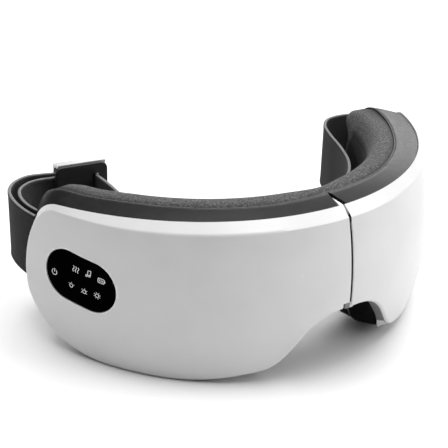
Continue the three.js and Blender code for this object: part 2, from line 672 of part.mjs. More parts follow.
function buildHalf(side) {
  const name = side === LEFT ? 'left' : 'right';
  let shell = frontShell(side);
  let frame = rearFrame(side);
  const lobe = [side === LEFT ? -0.6 : -2.4, side === LEFT ? 2.8 : 1.6];
  if (side === LEFT) {
    shell = cut(shell, panelPrism(CLEAR), bent(side, lobe, [-2, 18], [28, 33.2]));
  } else {
    shell = join(shell, bent(side, lobe, [1.3, 7.4], [ARCH_HEIGHT, 32.8]));
    const mouth = block(PORT.width + 0.7, PORT.thick + 0.6, 18);
    const room = block(PORT.width + 1.5, PORT.thick + 1.4, 22);
    shell = cut(shell, settle(mouth, side, PORT.s, 0, PORT.o));
    frame = cut(frame, settle(room, side, PORT.s, 0, PORT.o));
  }
  addPart(`${name}_front_shell`, shell, 'shellWhite');
  addPart(`${name}_rear_frame`, frame, 'frameBlack');
  addPart(`${name}_cushion`, sideCushion(side), 'leather');
  addPart(`${name}_face_pad`, facePad(side), 'suede');
  addPart(`${name}_hinge_leaf`, hingeLeaf(side), 'steel');
  addPart(`${name}_airbag`, airbag(side), 'silicone');
  addPart(`${name}_heating_pad`, heatingPad(side), 'foil');
  addPart(`${name}_speaker`, speaker(side), 'frameBlack');
  addPart(`${name}_vibration_motor`, vibrationMotor(side), 'steel');
  addPart(`${name}_motor_weight`, motorWeight(side), 'steel');
  addPart(`${name}_strap_anchor`, strapAnchor(side), 'frameBlack');
  BOSSES.forEach(([s, z], i) => {
    const piece = settle(screw(2.4, 1.2, 1.1, 7), side, s, z, PLATE_BACK + CLEAR);
    addPart(`${name}_housing_screw_${i + 1}`, piece, 'steel');
  });
  LEAF_SCREWS.forEach((z, i) => {
    const piece = settle(screw(2, 1.2, 1, 4), side, LEAF_SCREW_S, z, LEAF_BACK + CLEAR);
    addPart(`${name}_hinge_screw_${i + 1}`, piece, 'steel');
  });
}

buildHalf(LEFT);
buildHalf(RIGHT);

addPart('hinge_pin', hingePin(), 'steel');
addPart('control_panel', controlPanel(), 'panelBlack');
addPart('key_plunger', onPanel(inwardRod(1.5, 0.9, 12), 2.85), 'silicone');
addPart('key_switch', onPanel(block(6, 1.3, 6), 4.35), 'frameBlack');
addPart('key_board', onPanel(block(30, 1.2, 18), 5.9), 'board');
addPart('main_board', settle(block(36, 1.2, 28), LEFT, 50, 38, 10.4), 'board');
addPart('pump_motor', settle(upright(4.6, 20, 18), LEFT, 80, 32, 8.4), 'steel');
addPart('pump_head', settle(block(11, 9.6, 11), LEFT, 80, 48, 8.4), 'frameBlack');
addPart('air_valve', settle(block(7.5, 7.5, 13), LEFT, 91, 17, 8.9), 'steel');
addPart('battery', settle(block(40, 5, 28), RIGHT, 62, 36, 8.6), 'cell');
addPart('charging_port', settle(chargingPort(), RIGHT, PORT.s, 4.6, PORT.o), 'steel');
addPart('charging_board', settle(block(14, 1.2, 14), RIGHT, PORT.s, 14.5, 8), 'board');
addPart('flex_cable', flexCable(), 'foil');
addPart('air_hose', hoseAlong([[-22, 13, 41.5], [-10, 11.6, 41.5], [0, 11, 41.5], [10, 11.6, 41.5],
  [22, 13, 41.5]], 1.5), 'silicone');
addPart('strap_outer_loop', strapAlong(STRAP_OUTER, 22), 'webbing');
addPart('strap_inner_loop', strapAlong(STRAP_INNER, 18), 'webbing');
addPart('strap_exit', strapAlong(STRAP_EXIT, 6), 'webbing');
addPart('strap_run_left', strapAlong(STRAP_RUN_LEFT, 16), 'webbing');
addPart('strap_run_right', strapAlong(STRAP_RUN_RIGHT, 34), 'webbing');
addPart('slider_base', sliderBase(), 'frameBlack');
addPart('slider_cover', sliderCover(), 'shellWhite');

export default group;
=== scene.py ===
"""Folding eye massager mask: the looks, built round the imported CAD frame.

Shapes are drawn in millimetres in mask coordinates: s runs along the front curve from the
fold, z is up and o is the depth behind the foremost line. place() turns them into the row
frame in metres.
"""
import json
import math

import bmesh
import bpy
import numpy as np
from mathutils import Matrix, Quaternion, Vector


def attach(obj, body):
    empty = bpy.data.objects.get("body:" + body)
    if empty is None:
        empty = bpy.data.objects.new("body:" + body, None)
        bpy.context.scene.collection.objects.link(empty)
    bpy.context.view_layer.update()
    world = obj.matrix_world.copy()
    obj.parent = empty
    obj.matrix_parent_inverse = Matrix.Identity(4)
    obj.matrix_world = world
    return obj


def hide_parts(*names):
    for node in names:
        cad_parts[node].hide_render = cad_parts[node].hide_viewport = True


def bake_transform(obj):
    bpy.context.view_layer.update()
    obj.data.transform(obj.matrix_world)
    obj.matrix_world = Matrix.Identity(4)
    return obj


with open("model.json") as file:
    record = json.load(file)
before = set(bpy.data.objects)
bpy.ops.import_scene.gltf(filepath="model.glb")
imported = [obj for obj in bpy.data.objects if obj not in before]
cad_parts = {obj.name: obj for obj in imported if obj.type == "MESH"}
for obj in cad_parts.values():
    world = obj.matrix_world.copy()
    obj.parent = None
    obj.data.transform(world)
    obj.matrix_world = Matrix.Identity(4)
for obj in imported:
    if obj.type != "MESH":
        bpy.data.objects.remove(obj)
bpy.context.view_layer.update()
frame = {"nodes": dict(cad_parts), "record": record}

MM = 0.001
LEFT, RIGHT = -1, 1

# ---- Driving dimensions of the CAD source
HEIGHT = 73.0
HALF_ARC = 146.0
TOP_DROP, DROP_ARC = 7.6, 150.0
TURN, EASE = 1.68, 0.29
ARCH_HEIGHT = 30.3
TEMPLE_MID = 36.0
CROWN, CROWN_MID = 0.004, 36.0
HALF_SEAM = 0.4
WALL = 2.0
FILLET = 3.8
RIM, RIM_EXTRA, RIM_TAPER = 9.2, 4.0, 5.0
LOW_RIM_Z, LOW_RIM_SPAN = 34.0, 26.0
ARCH_RIM_DROP, ARCH_END, ARCH_CLEAR = 2.0, 26.0, 44.0
ARCH_RIM_Z, ARCH_RIM_SPAN = 36.0, 8.0
EDGE_ROUND, FOLD_BEVEL = 1.4, 0.3
FLANGE_DEPTH, FLANGE_FOOT = 16.0, 2.2
PANEL_S, PANEL_Z, PANEL_TILT = 114.5, 39.5, 0.14
PANEL_LENGTH, PANEL_HEIGHT, PANEL_THICK = 34.0, 22.0, 2.0
STRAP_LOW, STRAP_WIDTH, STRAP_THICK = 28.5, 30.0, 1.5
STRAP_MID = STRAP_LOW + STRAP_WIDTH / 2
SLIDER_X, SLIDER_Y, SLIDER_TURN = -60.7, 110.3, -0.2
SLIDER_LENGTH, SLIDER_HEIGHT, SLIDER_BASE = 23.0, 41.0, 2.2
ORIGIN_Y = 61.6
PORT_S, PORT_O = 108.0, 10.6
PORT_HALF_WIDTH, PORT_HALF_DEPTH = 4.8, 1.9


# ---- Mask coordinates
def turn_at(s):
    u = np.asarray(s, float) / HALF_ARC
    return TURN * u - EASE * u * u


PLAN_STEP = 0.25
PLAN_S = np.arange(0, HALF_ARC + 20, PLAN_STEP)
PLAN_MID = turn_at(PLAN_S[:-1] + PLAN_STEP / 2)
PLAN_X = np.concatenate([[0], np.cumsum(np.cos(PLAN_MID))]) * PLAN_STEP
PLAN_Y = np.concatenate([[0], np.cumsum(np.sin(PLAN_MID))]) * PLAN_STEP


def place(side, s, z, o):
    """Row-frame points, in metres, for mask coordinates of one side; s may be negative."""
    s, z, o = np.broadcast_arrays(*(np.asarray(v, float) for v in (s, z, o)))
    theta = np.where(s > 0, turn_at(np.maximum(s, 0)), 0.0)
    x = np.where(s > 0, np.interp(s, PLAN_S, PLAN_X), s)
    y = np.interp(s, PLAN_S, PLAN_Y)
    return np.stack([side * (x - np.sin(theta) * o), y + np.cos(theta) * o - ORIGIN_Y, z], -1) * MM


def place_both(s, z, o):
    """The same for signed s, negative on the left half, so one piece can cross the fold."""
    s = np.asarray(s, float)
    points = place(1, np.abs(s), z, o)
    points[..., 0] *= np.where(s < 0, -1, 1)
    return points


def in_frame(x, y, z):
    """A row-frame point, in metres, for millimetres measured back from the foremost line."""
    return Vector((x, y - ORIGIN_Y, z)) * MM


def turned(x, y, angle):
    cos, sin = math.cos(angle), math.sin(angle)
    return x * cos - y * sin, x * sin + y * cos


def crown_at(z):
    return CROWN * (np.asarray(z, float) - CROWN_MID) ** 2


def top_at(s):
    return HEIGHT - TOP_DROP * (np.asarray(s, float) / DROP_ARC) ** 2


def ease(value, low, high):
    t = np.clip((np.asarray(value, float) - low) / (high - low), 0, 1)
    return t * t * (3 - 2 * t)


def hill(value, middle, width):
    """A smooth bump of height 1 at plus and minus the middle."""
    return np.exp(-(((np.abs(value) - middle) / width) ** 2))


def rim_at(s, z):
    """Depth of the shell's rim: deeper along the lower edge, shallower in the nose arch."""
    s, z = np.asarray(s, float), np.asarray(z, float)
    low = ease(LOW_RIM_Z - z, 0, LOW_RIM_SPAN)
    arch = (1 - ease(s, ARCH_END, ARCH_CLEAR)) * ease(ARCH_RIM_Z - z, 0, ARCH_RIM_SPAN)
    taper = RIM_TAPER * (s / HALF_ARC) ** 2 * (1 - low)
    return RIM + RIM_EXTRA * low * (1 - arch) - ARCH_RIM_DROP * arch - taper


# ---- Outline of one half
def spaced(points, step):
    """Points along a polyline at about equal steps; the last point is left out."""
    points = np.asarray(points, float)
    along = np.concatenate([[0], np.cumsum(np.linalg.norm(np.diff(points, axis=0), axis=1))])
    count = max(1, round(along[-1] / step))
    at = np.linspace(0, along[-1], count + 1)[:-1]
    return np.stack([np.interp(at, along, points[:, k]) for k in range(points.shape[1])], 1)


def bezier(a, b, c, d, count=60):
    t = np.linspace(0, 1, count)[:, None]
    a, b, c, d = (np.array(p, float) for p in (a, b, c, d))
    return a * (1 - t) ** 3 + 3 * b * t * (1 - t) ** 2 + 3 * c * t * t * (1 - t) + d * t ** 3


STEP = 1.6
ARCH_KNEE, ARCH_TOE = (19.8, 22.2), (35.0, 6.2)
LOW_START, LOW_END = (78.0, 0.0), (104.0, 0.0)
TEMPLE = (HALF_ARC, TEMPLE_MID)
TOP_CORNER = 128.0


def edge_from_arch():
    """The outline from the foot of the fold round the arch, the lower edge, temple and top."""
    start = (FLANGE_FOOT, ARCH_HEIGHT)
    corner = (TOP_CORNER, float(top_at(TOP_CORNER)))
    top_s = np.linspace(TOP_CORNER, FLANGE_FOOT, 90)
    runs = [
        bezier(start, (9, 30.6), (14.6, 28.6), ARCH_KNEE),
        bezier(ARCH_KNEE, (25, 15.8), (28.2, 9.2), ARCH_TOE),
        bezier(ARCH_TOE, (47, 3.2), (62, 0), LOW_START),
        np.array([LOW_START, LOW_END]),
        bezier(LOW_END, (129, 0), (HALF_ARC, 13.5), TEMPLE),
        bezier(TEMPLE, (HALF_ARC, 52), (141, 66.8), corner),
        np.stack([top_s, top_at(top_s)], 1),
    ]
    return np.concatenate([spaced(run, STEP) for run in runs] + [runs[-1][-1:]])


def unit(vectors):
    return vectors / np.linalg.norm(vectors, axis=1)[:, None]


def left_of(directions):
    """Plane directions turned a quarter to the left."""
    return np.stack([-directions[:, 1], directions[:, 0]], 1)


def loop_normals(points):
    return left_of(unit(np.roll(points, -1, 0) - np.roll(points, 1, 0)))


def half_outline():
    fold_z = np.linspace(float(top_at(HALF_SEAM)), ARCH_HEIGHT, 24)
    fold = np.stack([np.full_like(fold_z, HALF_SEAM), fold_z], 1)
    feet = np.linspace(HALF_SEAM, FLANGE_FOOT, 4)[1:-1]
    low_foot = np.stack([feet, np.full_like(feet, ARCH_HEIGHT)], 1)
    top_foot = np.stack([feet[::-1], top_at(feet[::-1])], 1)
    points = np.concatenate([fold, low_foot, edge_from_arch(), top_foot])
    normals = loop_normals(points)
    normals[: len(fold)] = np.stack([np.zeros(len(fold)), np.linspace(-1, 1, len(fold))], 1)
    return points, normals, len(fold)


HALF, HALF_IN, FOLD_COUNT = half_outline()
SPINE_START, SPINE_END = np.array([24.0, 50.0]), np.array([114.0, 38.0])
SQUEEZE_TO = 34.0


def with_depth(spot, depth):
    """(s, z, o) rows from (s, z) rows and a depth, a number or a function of s and z."""
    o = depth(spot[:, 0], spot[:, 1]) if callable(depth) else np.full(len(spot), float(depth))
    return np.column_stack([spot, o])


def ring(inset, fold, depth, toward=0.0):
    """One loop of (s, z, o): inset from the half's outline, fold from the fold plane."""
    spot = HALF + HALF_IN * np.reshape(inset, (-1, 1))
    span = SQUEEZE_TO - HALF_SEAM
    near = spot[:, 0] < SQUEEZE_TO
    spot[near, 0] = SQUEEZE_TO - (SQUEEZE_TO - spot[near, 0]) * (span - fold) / span
    share = np.clip((HALF[:, 0] - SPINE_START[0]) / (SPINE_END[0] - SPINE_START[0]), 0, 1)
    spine = SPINE_START + share[:, None] * (SPINE_END - SPINE_START)
    return with_depth(spot + (spine - spot) * toward, depth)


def full_outline():
    """The outline of the whole mask in signed s, for the lining that crosses the fold."""
    side = edge_from_arch()
    middle = FLANGE_FOOT / 2 * np.array([1, 0, -1])
    over = np.stack([middle, top_at(middle)], 1)
    under = np.stack([-middle, np.full(3, ARCH_HEIGHT)], 1)
    points = np.concatenate([side, over, side[::-1] * [-1, 1], under])
    return points, loop_normals(points)


FULL, FULL_IN = full_outline()


def full_ring(inset, depth, toward=0.0):
    """One loop of (s, z, o) round the whole mask, drawn in from its outline."""
    spot = FULL + FULL_IN * np.reshape(inset, (-1, 1))
    spine_s = np.clip(FULL[:, 0], -SPINE_END[0], SPINE_END[0])
    share = np.clip((np.abs(spine_s) - SPINE_START[0]) / (SPINE_END[0] - SPINE_START[0]), 0, 1)
    spine = np.stack([spine_s, SPINE_START[1] + share * (SPINE_END[1] - SPINE_START[1])], 1)
    return with_depth(spot + (spine - spot) * toward, depth)


# ---- Meshes
MERGE = 1e-6


def add_object(name, data):
    thing = bpy.data.objects.new(name, data)
    bpy.context.scene.collection.objects.link(thing)
    return thing


def new_piece(name, points, faces, finish):
    mesh = bpy.data.meshes.new(name)
    mesh.from_pydata([tuple(p) for p in points], [], [tuple(f) for f in faces])
    piece = add_object(name, mesh)
    clean(piece)
    mesh.materials.append(finish)
    return piece


def clean(piece):
    mesh = bmesh.new()
    mesh.from_mesh(piece.data)
    bmesh.ops.remove_doubles(mesh, verts=mesh.verts, dist=MERGE)
    bmesh.ops.dissolve_degenerate(mesh, edges=mesh.edges, dist=MERGE)
    bmesh.ops.recalc_face_normals(mesh, faces=mesh.faces)
    for face in mesh.faces:
        face.smooth = True
    mesh.to_mesh(piece.data)
    mesh.free()
    piece.data.update()


def crease(piece, degrees=34):
    piece.data.set_sharp_from_angle(angle=math.radians(degrees))


def zip_cap(loop, offset, reverse):
    """Faces that close a long loop from end to end."""
    count, across = len(loop), loop[:, 0]
    lower, tip = int(np.argmin(across)), int(np.argmax(across))
    upper = lower + count
    if tip < lower:
        tip += count
    faces = []
    while lower < tip or upper > tip:
        ahead = across[(lower + 1) % count] <= across[(upper - 1) % count]
        forward = lower < tip and (upper == tip or ahead)
        third = lower + 1 if forward else upper - 1
        face = [lower % count, third % count, upper % count]
        if len(set(face)) == 3:
            faces.append([i + offset for i in (face[::-1] if reverse else face)])
        lower, upper = (third, upper) if forward else (lower, third)
    return faces


def skin(rows, count, closed=False, capped=False):
    """Faces between rows of points that follow one another, with or without flat ends."""
    faces = []
    for j in range(rows if closed else rows - 1):
        here, after = j * count, (j + 1) % rows * count
        for i in range(count):
            k = (i + 1) % count
            faces.append((here + i, here + k, after + k, after + i))
    if capped:
        faces += [tuple(range(count))[::-1], tuple(range((rows - 1) * count, rows * count))]
    return faces


def loft_faces(loops, closed=False):
    """Faces over a row of loops, either joined round or closed with a zipped cap at each end."""
    count = len(loops[0])
    faces = skin(len(loops), count, closed)
    if not closed:
        faces += zip_cap(loops[0], 0, True)
        faces += zip_cap(loops[-1], (len(loops) - 1) * count, False)
    return faces


def half_loft(name, side, loops, finish, closed=False):
    return new_piece(name, place(side, *np.concatenate(loops).T), loft_faces(loops, closed), finish)


def boolean(piece, other, operation):
    change = piece.modifiers.new("cut", "BOOLEAN")
    change.object = other
    change.operation = operation
    change.solver = "EXACT"
    graph = bpy.context.evaluated_depsgraph_get()
    result = bpy.data.meshes.new_from_object(piece.evaluated_get(graph))
    piece.modifiers.clear()
    piece.data = result
    bpy.data.objects.remove(other)
    for face in piece.data.polygons:
        face.use_smooth = True


def bent_block(side, s_range, o_range, z_range):
    """A block drawn in s, o and z and bent round the front curve, used as a tool."""
    (near, far), (low, high) = o_range, z_range
    rows = [place(side, s, (low, low, high, high), (near, far, far, near))
            for s in np.linspace(*s_range, 6)]
    faces = skin(len(rows), 4, capped=True)
    return new_piece("tool", np.concatenate(rows), faces, FINISH["shell_white"])


def points_of(piece):
    """The vertices of a piece, in millimetres."""
    return np.array([vertex.co for vertex in piece.data.vertices]) / MM


def paint(piece, name, values):
    """Store a number for each vertex under a name, for a finish to read."""
    layer = piece.data.attributes.new(name, "FLOAT", "POINT")
    layer.data.foreach_set("value", np.asarray(values, np.float32))


def repaint(piece, finish, chosen, least_y=-2.0):
    """Give another finish to the faces whose corners a test chooses and that look back enough."""
    piece.data.materials.append(finish)
    index = len(piece.data.materials) - 1
    points = points_of(piece)
    for face in piece.data.polygons:
        if chosen(points[list(face.vertices)]) and face.normal.y > least_y:
            face.material_index = index


# ---- Finishes
NOISE_LOW, NOISE_HIGH = 0.3, 0.7


class Nodes:
    """A shorthand for building one procedural material."""

    def __init__(self, name):
        self.material = bpy.data.materials.new(name)
        self.material.use_nodes = True
        self.tree = self.material.node_tree
        self.shader = self.tree.nodes["Principled BSDF"]
        self.where = self.add("ShaderNodeTexCoord").outputs["Object"]

    def add(self, kind, inputs=None, **settings):
        """A new node; each input is given as a number or as another node's output."""
        node = self.tree.nodes.new(kind)
        for key, value in settings.items():
            setattr(node, key, value)
        for key, value in (inputs or {}).items():
            if isinstance(value, (int, float)):
                node.inputs[key].default_value = value
            else:
                self.tree.links.new(value, node.inputs[key])
        return node

    def noise(self, scale, detail, roughness=0.5):
        inputs = {"Scale": scale, "Detail": detail, "Roughness": roughness, "Vector": self.where}
        return self.add("ShaderNodeTexNoise", inputs).outputs["Fac"]

    def cells(self, scale):
        inputs = {"Scale": scale, "Vector": self.where}
        return self.add("ShaderNodeTexVoronoi", inputs, feature="DISTANCE_TO_EDGE").outputs[0]

    def attribute(self, name):
        return self.add("ShaderNodeAttribute", attribute_name=name).outputs["Fac"]

    def math(self, operation, *values):
        return self.add("ShaderNodeMath", dict(enumerate(values)), operation=operation).outputs[0]

    def ramp(self, value, stops):
        node = self.add("ShaderNodeValToRGB", {"Fac": value})
        elements = node.color_ramp.elements
        while len(elements) < len(stops):
            elements.new(0.5)
        for element, (position, colour) in zip(elements, stops):
            element.position = position
            element.color = (*colour, 1)
        return node.outputs["Color"]

    def tones(self, value, dark, light):
        """A colour between two, over the middle of a noise's range."""
        return self.ramp(value, [(NOISE_LOW, dark), (NOISE_HIGH, light)])

    def mixed(self, factor, first, second):
        """Mixes two colours: input 0 is the factor, 6 and 7 are the colours."""
        return self.add("ShaderNodeMix", {0: factor, 6: first, 7: second},
                        data_type="RGBA").outputs[2]

    def scaled(self, value, low, high, to_low, to_high):
        inputs = {"Value": value, "From Min": low, "From Max": high, "To Min": to_low,
                  "To Max": to_high}
        return self.add("ShaderNodeMapRange", inputs).outputs["Result"]

    def set(self, **values):
        """Shader inputs, as numbers, colours or outputs of other nodes."""
        for key, value in values.items():
            socket = self.shader.inputs[key.replace("_", " ")]
            if isinstance(value, bpy.types.NodeSocket):
                self.tree.links.new(value, socket)
            else:
                socket.default_value = value

    def bump(self, height, strength, distance):
        inputs = {"Strength": strength, "Distance": distance, "Height": height}
        self.set(Normal=self.add("ShaderNodeBump", inputs).outputs["Normal"])

    def colour(self, source):
        self.set(Base_Color=source)

    def rough(self, value, low, high):
        self.set(Roughness=self.scaled(value, NOISE_LOW, NOISE_HIGH, low, high))


def grey(value):
    return (value, value, value)


def three_noises(name, tone, shades, rough, relief, **values):
    """A finish whose tone, roughness and relief each come from a noise (scale, detail, ...)."""
    n = Nodes(name)
    n.colour(n.tones(n.noise(*tone), *shades))
    n.rough(n.noise(*rough[:2]), *rough[2:])
    n.bump(n.noise(*relief[:2]), *relief[2:])
    n.set(**values)
    return n.material


def shell_white():
    n = Nodes("satin_white_plastic")
    # painted highlight: where the bevel attribute is high the shell is drawn a brighter white
    bevel = n.attribute("bevel")
    face = n.tones(n.noise(60, 4), grey(0.60), grey(0.63))
    painted_highlight = n.tones(n.noise(60, 4), grey(0.79), grey(0.82))
    n.colour(n.mixed(bevel, face, painted_highlight))
    n.rough(n.noise(900, 3), 0.34, 0.42)
    n.bump(n.noise(2600, 2), 0.05, 0.00003)
    n.set(Specular_IOR_Level=0.75, Coat_Weight=0.25, Coat_Roughness=0.15)
    return n.material


def panel_black():
    return three_noises("gloss_black_window", (80, 3), (grey(0.0006), grey(0.0014)),
                        (500, 3, 0.14, 0.22), (300, 2, 0.02, 0.00002),
                        Specular_IOR_Level=0.0, IOR=1.05)


def dark_plastic():
    return three_noises("black_moulded_plastic", (200, 4), (grey(0.010), grey(0.016)),
                        (700, 3, 0.42, 0.55), (3000, 3, 0.12, 0.00004))


def soft_leather():
    n = Nodes("charcoal_leather")
    n.colour(n.tones(n.noise(150, 6, 0.6), grey(0.006), grey(0.011)))
    n.rough(n.noise(600, 4), 0.34, 0.44)
    pebbles = n.math("MULTIPLY", n.math("MINIMUM", n.cells(1500), 0.3), 1.2)
    pores = n.math("MULTIPLY", n.noise(2600, 3), 0.35)
    n.bump(n.math("ADD", pebbles, pores), 0.09, 0.00005)
    n.set(Specular_IOR_Level=0.2)
    return n.material


def suede_cloth():
    n = Nodes("brushed_grey_cloth")
    coarse = n.noise(1200, 6, 0.75)
    fine = n.noise(2600, 3, 0.7)
    mix = n.math("ADD", n.math("MULTIPLY", coarse, 0.72), n.math("MULTIPLY", fine, 0.28))
    cloth = n.ramp(mix, [(0.38, grey(0.026)), (0.50, grey(0.070)), (0.62, grey(0.18))])
    # painted shade: the cloth is drawn near-black where the hollow attribute is high
    hollow = n.attribute("hollow")
    n.colour(n.mixed(hollow, cloth, n.tones(mix, grey(0.002), grey(0.008))))
    n.rough(fine, 0.86, 0.98)
    n.bump(mix, 0.55, 0.00022)
    n.set(Sheen_Weight=0.08, Sheen_Roughness=0.5, Specular_IOR_Level=0.15)
    return n.material


def piping_trim():
    return three_noises("lining_piping", (1400, 4), (grey(0.05), grey(0.10)),
                        (900, 3, 0.45, 0.6), (2600, 3, 0.2, 0.00005))


RIB_PITCH, PICK_PITCH = 0.9, 0.8


def webbing():
    n = Nodes("elastic_webbing")
    uv = n.add("ShaderNodeUVMap", uv_map="weave").outputs["UV"]
    along, across, _ = n.add("ShaderNodeSeparateXYZ", {"Vector": uv}).outputs
    rib = n.math("SINE", n.math("MULTIPLY", across, 2 * math.pi / RIB_PITCH))
    pick = n.math("SINE", n.math("MULTIPLY", along, 2 * math.pi / PICK_PITCH))
    weave = n.math("MULTIPLY", rib, pick)
    half = STRAP_WIDTH / 2
    selvedge = n.scaled(n.math("ABSOLUTE", across), half - 0.30, half - 0.12, 0, 1)
    speck = n.noise(1500, 4, 0.7)
    body = n.ramp(n.math("ADD", n.math("MULTIPLY", weave, 0.12), speck),
                  [(0.35, grey(0.006)), (0.65, grey(0.013))])
    edge = n.ramp(speck, [(0.35, grey(0.13)), (0.65, grey(0.23))])
    # painted light: the inner side of the webbing is drawn lighter than the outer side
    painted_inner_light = n.attribute("inner_side")
    body = n.mixed(painted_inner_light, body, n.ramp(speck, [(0.35, grey(0.03)), (0.65, grey(0.06))]))
    n.colour(n.mixed(selvedge, body, edge))
    n.rough(speck, 0.75, 0.9)
    n.bump(weave, 0.35, 0.00010)
    n.set(Sheen_Weight=0.04, Specular_IOR_Level=0.2)
    return n.material


def icon_white():
    n = Nodes("printed_icon_white")
    n.colour(n.tones(n.noise(900, 2), grey(0.70), grey(0.8)))
    n.rough(n.noise(900, 2), 0.5, 0.6)
    # painted light: a faint white glow, though the icons are only printed
    n.set(Emission_Color=(1, 1, 1, 1), Emission_Strength=0.12)
    return n.material


def metal(name, tone, roughness):
    return three_noises(name, (300, 5), (tuple(0.85 * t for t in tone), tone),
                        (1200, 4, roughness, roughness + 0.15), (2500, 2, 0.08, 0.00003),
                        Metallic=1.0)


def plain(name, dark, light, roughness, specular=0.5):
    return three_noises(name, (400, 5), (dark, light), (900, 3, roughness, roughness + 0.12),
                        (2200, 3, 0.1, 0.00004), Specular_IOR_Level=specular)


FINISH = {
    "shell_white": shell_white(),
    "panel_black": panel_black(),
    "dark_plastic": dark_plastic(),
    "soft_leather": soft_leather(),
    "suede_cloth": suede_cloth(),
    "elastic_webbing": webbing(),
    "circuit_board": plain("green_solder_mask", (0.01, 0.06, 0.02), (0.02, 0.11, 0.04), 0.4),
    "silicone_rubber": plain("milky_silicone", grey(0.50), grey(0.62), 0.5),
    "amber_film": plain("amber_film", (0.35, 0.16, 0.03), (0.5, 0.25, 0.06), 0.35),
    "cell_foil": metal("cell_foil", (0.55, 0.58, 0.62), 0.4),
    "bare_steel": metal("bare_steel", (0.60, 0.61, 0.63), 0.28),
}
PIPING = piping_trim()
# painted shade: near-black for the soft parts in the nose arch
ARCH_SHADE = plain("arch_painted_shade", grey(0.0012), grey(0.0025), 0.6, 0.06)
# painted shade: grey for the shell's arch return wall and the hinge lobe
SHELL_SHADE = plain("shell_painted_shade", grey(0.17), grey(0.21), 0.55, 0.2)
ICON = icon_white()

slot_of = {row["node"]: row["material_slot"] for row in frame["record"]["subparts"]}
for node_name, node_object in frame["nodes"].items():
    node_object.data.materials.clear()
    node_object.data.materials.append(FINISH[slot_of[node_name]])


# ---- Camera, floor and light
AZIMUTH, RISE, ROLL = -35.2, 27.97, 1.74
DISTANCE = 538.0
TARGET = (-22.4, 57.7, 48.4)
LENS, SENSOR = 103.7, 36.0
FLOOR_HALF = 6.0
LIT_POINT = (0, 0, 0.03)


def aim_at(thing, position, target, roll=0.0):
    thing.location = position
    thing.rotation_mode = "QUATERNION"
    turn = (Vector(target) - Vector(position)).to_track_quat("-Z", "Y")
    thing.rotation_quaternion = turn @ Quaternion((0, 0, 1), math.radians(roll))


def add_camera():
    data = bpy.data.cameras.new("camera")
    data.lens = LENS
    data.sensor_width = SENSOR
    data.clip_start, data.clip_end = 0.02, 20
    camera = add_object("camera", data)
    azimuth, rise = math.radians(AZIMUTH), math.radians(RISE)
    back = Vector((math.sin(azimuth) * math.cos(rise), -math.cos(azimuth) * math.cos(rise),
                   math.sin(rise)))
    target = in_frame(*TARGET)
    aim_at(camera, target + back * DISTANCE * MM, target, ROLL)
    bpy.context.scene.camera = camera


def add_floor():
    mesh = bpy.data.meshes.new("floor")
    corners = [(FLOOR_HALF * a, FLOOR_HALF * b, 0) for a, b in ((-1, -1), (1, -1), (1, 1), (-1, 1))]
    mesh.from_pydata(corners, [], [(0, 1, 2, 3)])
    floor = add_object("floor", mesh)
    n = Nodes("studio_floor")
    n.colour(n.tones(n.noise(3, 2), grey(0.86), grey(0.87)))
    n.set(Roughness=0.8, Specular_IOR_Level=0.1)
    mesh.materials.append(n.material)


def add_light(name, position, width, height, power):
    data = bpy.data.lights.new(name, "AREA")
    data.shape = "RECTANGLE"
    data.size, data.size_y = width, height
    data.energy = power
    aim_at(add_object(name, data), position, LIT_POINT)


def add_lighting():
    world = bpy.data.worlds.new("studio")
    world.use_nodes = True
    background = world.node_tree.nodes["Background"]
    background.inputs["Color"].default_value = (1, 1, 1, 1)
    background.inputs["Strength"].default_value = 0.05
    bpy.context.scene.world = world
    add_light("overhead", (0.1, 0.05, 1.35), 1.4, 1.4, 26.5)
    add_light("left_top", (-0.6, 0.5, 1.1), 0.9, 0.9, 4)
    add_light("front_right", (1.1, -0.9, 0.8), 0.9, 0.9, 13)
    add_light("back_right", (0.95, 0.8, 0.5), 0.8, 0.5, 6.5)
    bpy.context.scene.view_settings.view_transform = "Standard"


# ---- Housings
FACE_LOOPS, EDGE_LOOPS = 26, 10
BEVEL_EASE = 1.6
RIM_LIP = 0.35
SLOT_SIDES, SLOT_DEPTHS = (140, 152), (3.3, 14)


def flange_depth(side):
    """Depth of the rim, which on the left half deepens into a flange at the fold."""
    def depth(s, z):
        rim = rim_at(s, z)
        share = np.clip((FLANGE_FOOT - s) / (FLANGE_FOOT - HALF_SEAM), 0, 1)
        return rim + (FLANGE_DEPTH - rim) * share * (side == LEFT)
    return depth


def bevel_share():
    """1 where the face edge is a bevel (top and temple), 0 where it is rounded."""
    s, z = HALF.T
    share = ease(z, 24, 46)
    share[(s < SPINE_START[0]) & (z < SPINE_START[1])] = 0
    share[:FOLD_COUNT] = ease(z[:FOLD_COUNT], 64, HEIGHT)
    return share


def paint_fold_gap_shade(piece):
    """Painted shade: the two facing walls of the fold gap are drawn black, so the gap reads as a
    dark line.
    """
    def in_gap(corners):
        beside = np.abs(corners[:, 0]).max() < HALF_SEAM + 0.25
        behind = corners[:, 1] + ORIGIN_Y - crown_at(corners[:, 2])
        return beside and behind.min() > 0.35 and corners[:, 2].max() < HEIGHT - 2
    # painted shade: the gap walls take the black plastic finish
    repaint(piece, FINISH["dark_plastic"], in_gap)


def shade_arch(piece):
    """Painted shade: the return wall of the nose arch is drawn greyer than the face, with a matt
    finish.
    """
    def on_return(corners):
        across, top = np.abs(corners[:, 0]), corners[:, 2].max()
        return across.min() > 1.5 and across.max() < 41 and 1.5 < top < ARCH_HEIGHT + 0.2
    repaint(piece, SHELL_SHADE, on_return, -0.45)


